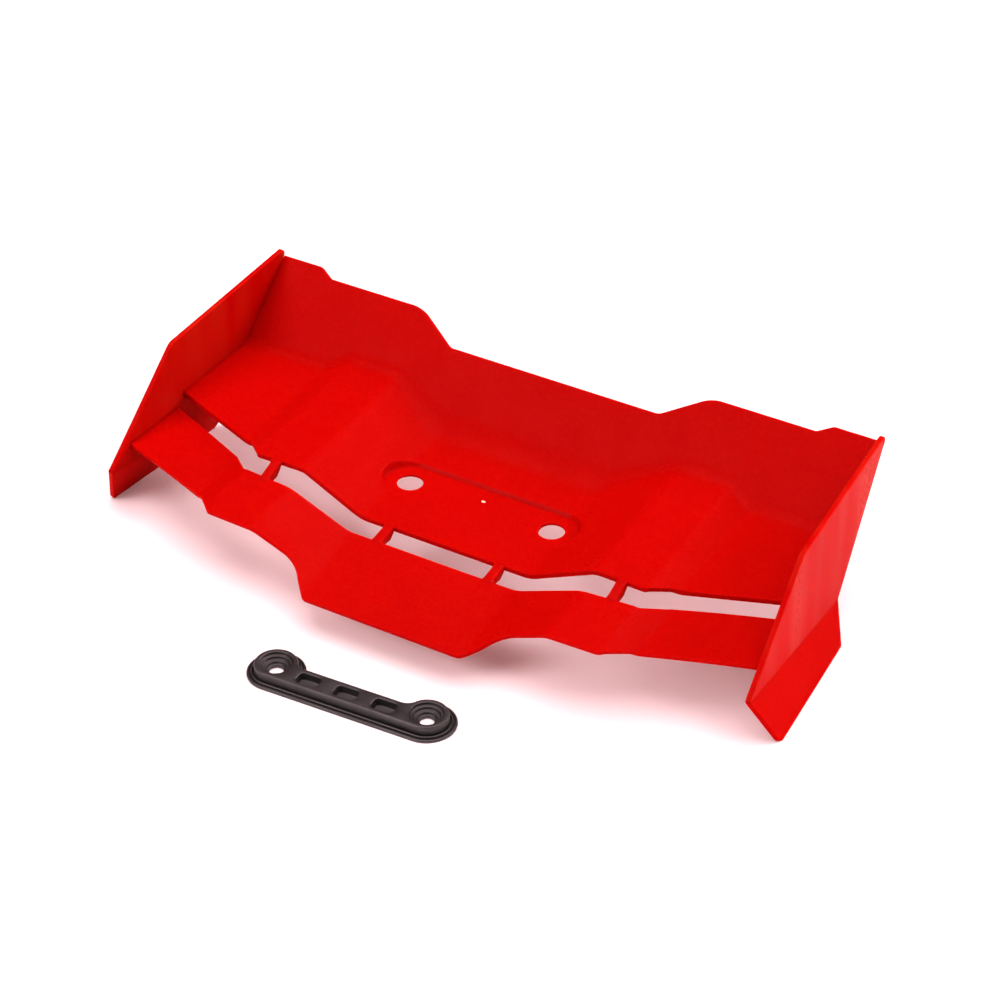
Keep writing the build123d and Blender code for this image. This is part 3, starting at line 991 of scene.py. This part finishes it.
def moulded_nylon(name, tones, amounts, roughness, grains, bump, streak_and_painted_light=None):
    """A moulded nylon finish from the shared groups; returns the material and its shader."""
    mat = bpy.data.materials.new(name)
    mat.use_nodes = True
    tree = mat.node_tree
    bsdf = tree.nodes["Principled BSDF"]
    coords = tree.nodes.new("ShaderNodeTexCoord").outputs["Object"]
    plain, stretched = tree.nodes.new("ShaderNodeMapping"), tree.nodes.new("ShaderNodeMapping")
    for mapping, scale in ((plain, (1.0, 1.0, 1.0)), (stretched, (1.0, 0.9, 0.16))):
        tree.links.new(coords, mapping.inputs["Vector"])
        mapping.inputs["Scale"].default_value = scale
    plain.inputs["Location"].default_value = (0.31, 0.17, 0.05)
    stretched.inputs["Rotation"].default_value = (math.radians(38), 0, 0)
    vector = plain.outputs["Vector"]
    grain = placed_group(tree, mould_grain, {"Vector": vector},
                         {"Grains per metre": grains, "Coarse share": 0.35})
    flow = placed_group(tree, melt_flow, {"Vector": vector, "Streak vector": stretched.outputs["Vector"]},
                        {"Clouds per metre": 22.0, "Streaks per metre": 95.0})
    main, deep, light = tones
    # the streak colour gives real flow marks, and on the end plates and fins also painted sheen and painted
    # shade
    streak_and_painted_light_colour, streak_amount = streak_and_painted_light or (light, 0.1)
    tone = placed_group(tree, nylon_tone,
                        {"Clouds": flow["Clouds"], "Speckle": grain["Speckle"], "Streaks": flow["Streaks"]},
                        {"Main": main, "Deep": deep, "Grain": light,
                         "Cloud amount": amounts[0], "Grain amount": amounts[1],
                         "Streak colour": streak_and_painted_light_colour, "Streak amount": streak_amount})
    sheen = placed_group(tree, matt_sheen, {"Streaks": flow["Streaks"], "Speckle": grain["Speckle"]},
                         {"Middle": roughness, "Streak depth": 0.14, "Grain depth": 0.08})
    tree.links.new(tone["Colour"], bsdf.inputs["Base Color"])
    tree.links.new(sheen["Roughness"], bsdf.inputs["Roughness"])
    bump_node = tree.nodes.new("ShaderNodeBump")
    bump_node.inputs["Strength"].default_value = bump[0]
    bump_node.inputs["Distance"].default_value = bump[1]
    tree.links.new(grain["Height"], bump_node.inputs["Height"])
    tree.links.new(bump_node.outputs["Normal"], bsdf.inputs["Normal"])
    return mat, bsdf


def red_nylon(name, gloss, streak_and_painted_light):
    """Red nylon; the end plates show more flow marks, tinted orange as painted sheen, the fins less gloss and
    darker streaks as painted shade.
    """
    tones = ((0.375, 0.0003, 0.0002, 1), (0.335, 0.0002, 0.0003, 1), (0.42, 0.0030, 0.0002, 1))
    mat, bsdf = moulded_nylon(name, tones, (0.7, 0.55), 0.40, 900.0, (0.22, 0.00006), streak_and_painted_light)
    bsdf.inputs["Specular IOR Level"].default_value = gloss
    bsdf.inputs["Subsurface Weight"].default_value = 0.7
    bsdf.inputs["Subsurface Radius"].default_value = (1.0, 0.05, 0.03)
    bsdf.inputs["Subsurface Scale"].default_value = 0.0028
    return mat


def black_nylon():
    tones = ((0.0050, 0.0052, 0.0056, 1), (0.0035, 0.0037, 0.0040, 1), (0.0130, 0.0134, 0.0142, 1))
    mat, bsdf = moulded_nylon("black_nylon", tones, (0.6, 0.6), 0.50, 1300.0, (0.3, 0.00005))
    bsdf.inputs["Specular IOR Level"].default_value = 0.7
    return mat


def gate_painted_highlight():
    """Cream colour on the nub where the sprue was cut away: a painted highlight."""
    tones = ((0.80, 0.66, 0.45, 1), (0.72, 0.52, 0.34, 1), (0.92, 0.84, 0.70, 1))
    mat, bsdf = moulded_nylon("gate_painted_highlight", tones, (0.5, 0.5), 0.30, 2500.0, (0.2, 0.00004))
    bsdf.inputs["Specular IOR Level"].default_value = 0.5
    return mat


red = red_nylon("red_nylon", 0.016, ((0.39, 0.0020, 0.0010, 1), 0.3))
# end plates: real flow marks, with an orange streak tint that is painted sheen from the light on the outer
# faces
red_plate_painted_sheen = red_nylon("red_nylon_plate_painted_sheen", 0.012, ((0.40, 0.0110, 0.0045, 1), 0.7))
# fins: real flow streaks in a darker red that is painted shade; less gloss
red_fin_painted_shade = red_nylon("red_nylon_fin_painted_shade", 0.004, ((0.34, 0.0004, 0.0004, 1), 0.5))
black = black_nylon()
gate_highlight = gate_painted_highlight()


# ---------------------------------------------------------------- pieces

def finish_piece(piece, body, nodes):
    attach(piece, body)
    if nodes:
        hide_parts(*nodes)


main = new_object("main_plane_shell", *make_main_plane(), red)
finish_piece(main, "wing", ["main_plane"])
flap = new_object("front_flap_shell", *make_flap(), red)
finish_piece(flap, "wing", ["front_flap"])

plate_verts, plate_mesh_faces, plate_plans, plate_normals = make_plate_and_fin()
for side, mirrored in (("right", False), ("left", True)):
    for node, chosen, finish in (("end_plate", plate_plans[:, 1] > 0, red_plate_painted_sheen),
                                 ("lower_fin", plate_plans[:, 1] <= 0, red_fin_painted_shade)):
        piece = cut_piece(f"{node}_{side}_shell", plate_verts, plate_mesh_faces, chosen, plate_normals,
                          mirrored, finish)
        finish_piece(piece, "wing", [f"{node}_{side}"])

for place, x in (("inner", RIB_X[0]), ("outer", RIB_X[1])):
    for side, sign in (("right", 1), ("left", -1)):
        rib = new_object(f"slot_rib_{place}_{side}_bar", *make_rib(sign * x), None, red)
        welded(rib)
        finish_piece(rib, "wing", [f"slot_rib_{place}_{side}"])

# the sprue's nub, coloured cream as a painted highlight
gate = new_object("recess_gate_mark", *make_gate_mark(), None, gate_highlight)
welded(gate, 0.001)
finish_piece(gate, "wing", [])

clamp = new_object("clamp_plate_body", *make_clamp_plate(), None, black)
welded(clamp)
finish_piece(clamp, "clamp_plate", ["clamp_plate"])


# ---------------------------------------------------------------- floor, light and camera

def make_floor():
    mesh = bpy.data.meshes.new("floor")
    size, z = 6.0, -STAND * MM - 0.00005
    corners = [(-size, -size, z), (size, -size, z), (size, size, z), (-size, size, z)]
    mesh.from_pydata(corners, [], [(0, 1, 2, 3)])
    floor = bpy.data.objects.new("floor", mesh)
    bpy.context.scene.collection.objects.link(floor)
    mat = bpy.data.materials.new("floor_white")
    mat.use_nodes = True
    bsdf = mat.node_tree.nodes["Principled BSDF"]
    bsdf.inputs["Base Color"].default_value = (0.95, 0.95, 0.95, 1)
    bsdf.inputs["Roughness"].default_value = 0.9
    bsdf.inputs["Specular IOR Level"].default_value = 0.0
    bsdf.inputs["Emission Color"].default_value = (1, 1, 1, 1)
    bsdf.inputs["Emission Strength"].default_value = 0.06
    mesh.materials.append(mat)


def area_light(name, place, target, size, power):
    data = bpy.data.lights.new(name, "AREA")
    data.shape = "RECTANGLE"
    data.size, data.size_y = size
    data.energy = power
    data.color = LIGHT_COLOUR
    light = bpy.data.objects.new(name, data)
    light.location = place
    light.rotation_euler = (Vector(target) - Vector(place)).to_track_quat("-Z", "Y").to_euler()
    bpy.context.scene.collection.objects.link(light)


make_floor()
area_light("overhead", (0.1, 0.1, 2.2), (0, 0, 0), (2.6, 2.6), 80)
area_light("right_side", (2.0, -0.1, 1.9), (0, 0, 0), (1.2, 1.6), 17)
area_light("rear_right", (1.5, 1.5, 1.0), (0, 0, 0), (1.0, 0.8), 54)
area_light("front_left", (-1.1, -1.9, 1.5), (0, 0, 0), (1.4, 1.4), 53)

world = bpy.data.worlds.new("room")
world.use_nodes = True
ambient = world.node_tree.nodes["Background"]
ambient.inputs["Color"].default_value = (1, 1, 1, 1)
seen = world.node_tree.nodes.new("ShaderNodeLightPath").outputs["Is Camera Ray"]
# pale to look at, but dim as a light
room = spread(world.node_tree, seen, 0.0, 1.0, ROOM_LIGHT, ROOM_SEEN)
world.node_tree.links.new(room, ambient.inputs["Strength"])
bpy.context.scene.world = world

camera_data = bpy.data.cameras.new("camera")
camera_data.lens = CAMERA_LENS
camera_data.sensor_width = 36.0
camera_data.clip_start = 0.01
camera = bpy.data.objects.new("camera", camera_data)
camera.location = CAMERA_AT
back = Vector((math.sin(CAMERA_AZIMUTH) * math.cos(CAMERA_HEIGHT),
               -math.cos(CAMERA_AZIMUTH) * math.cos(CAMERA_HEIGHT), math.sin(CAMERA_HEIGHT)))
camera.rotation_euler = back.to_track_quat("Z", "Y").to_euler()
bpy.context.scene.collection.objects.link(camera)
bpy.context.scene.camera = camera
bpy.context.scene.view_settings.view_transform = "Standard"
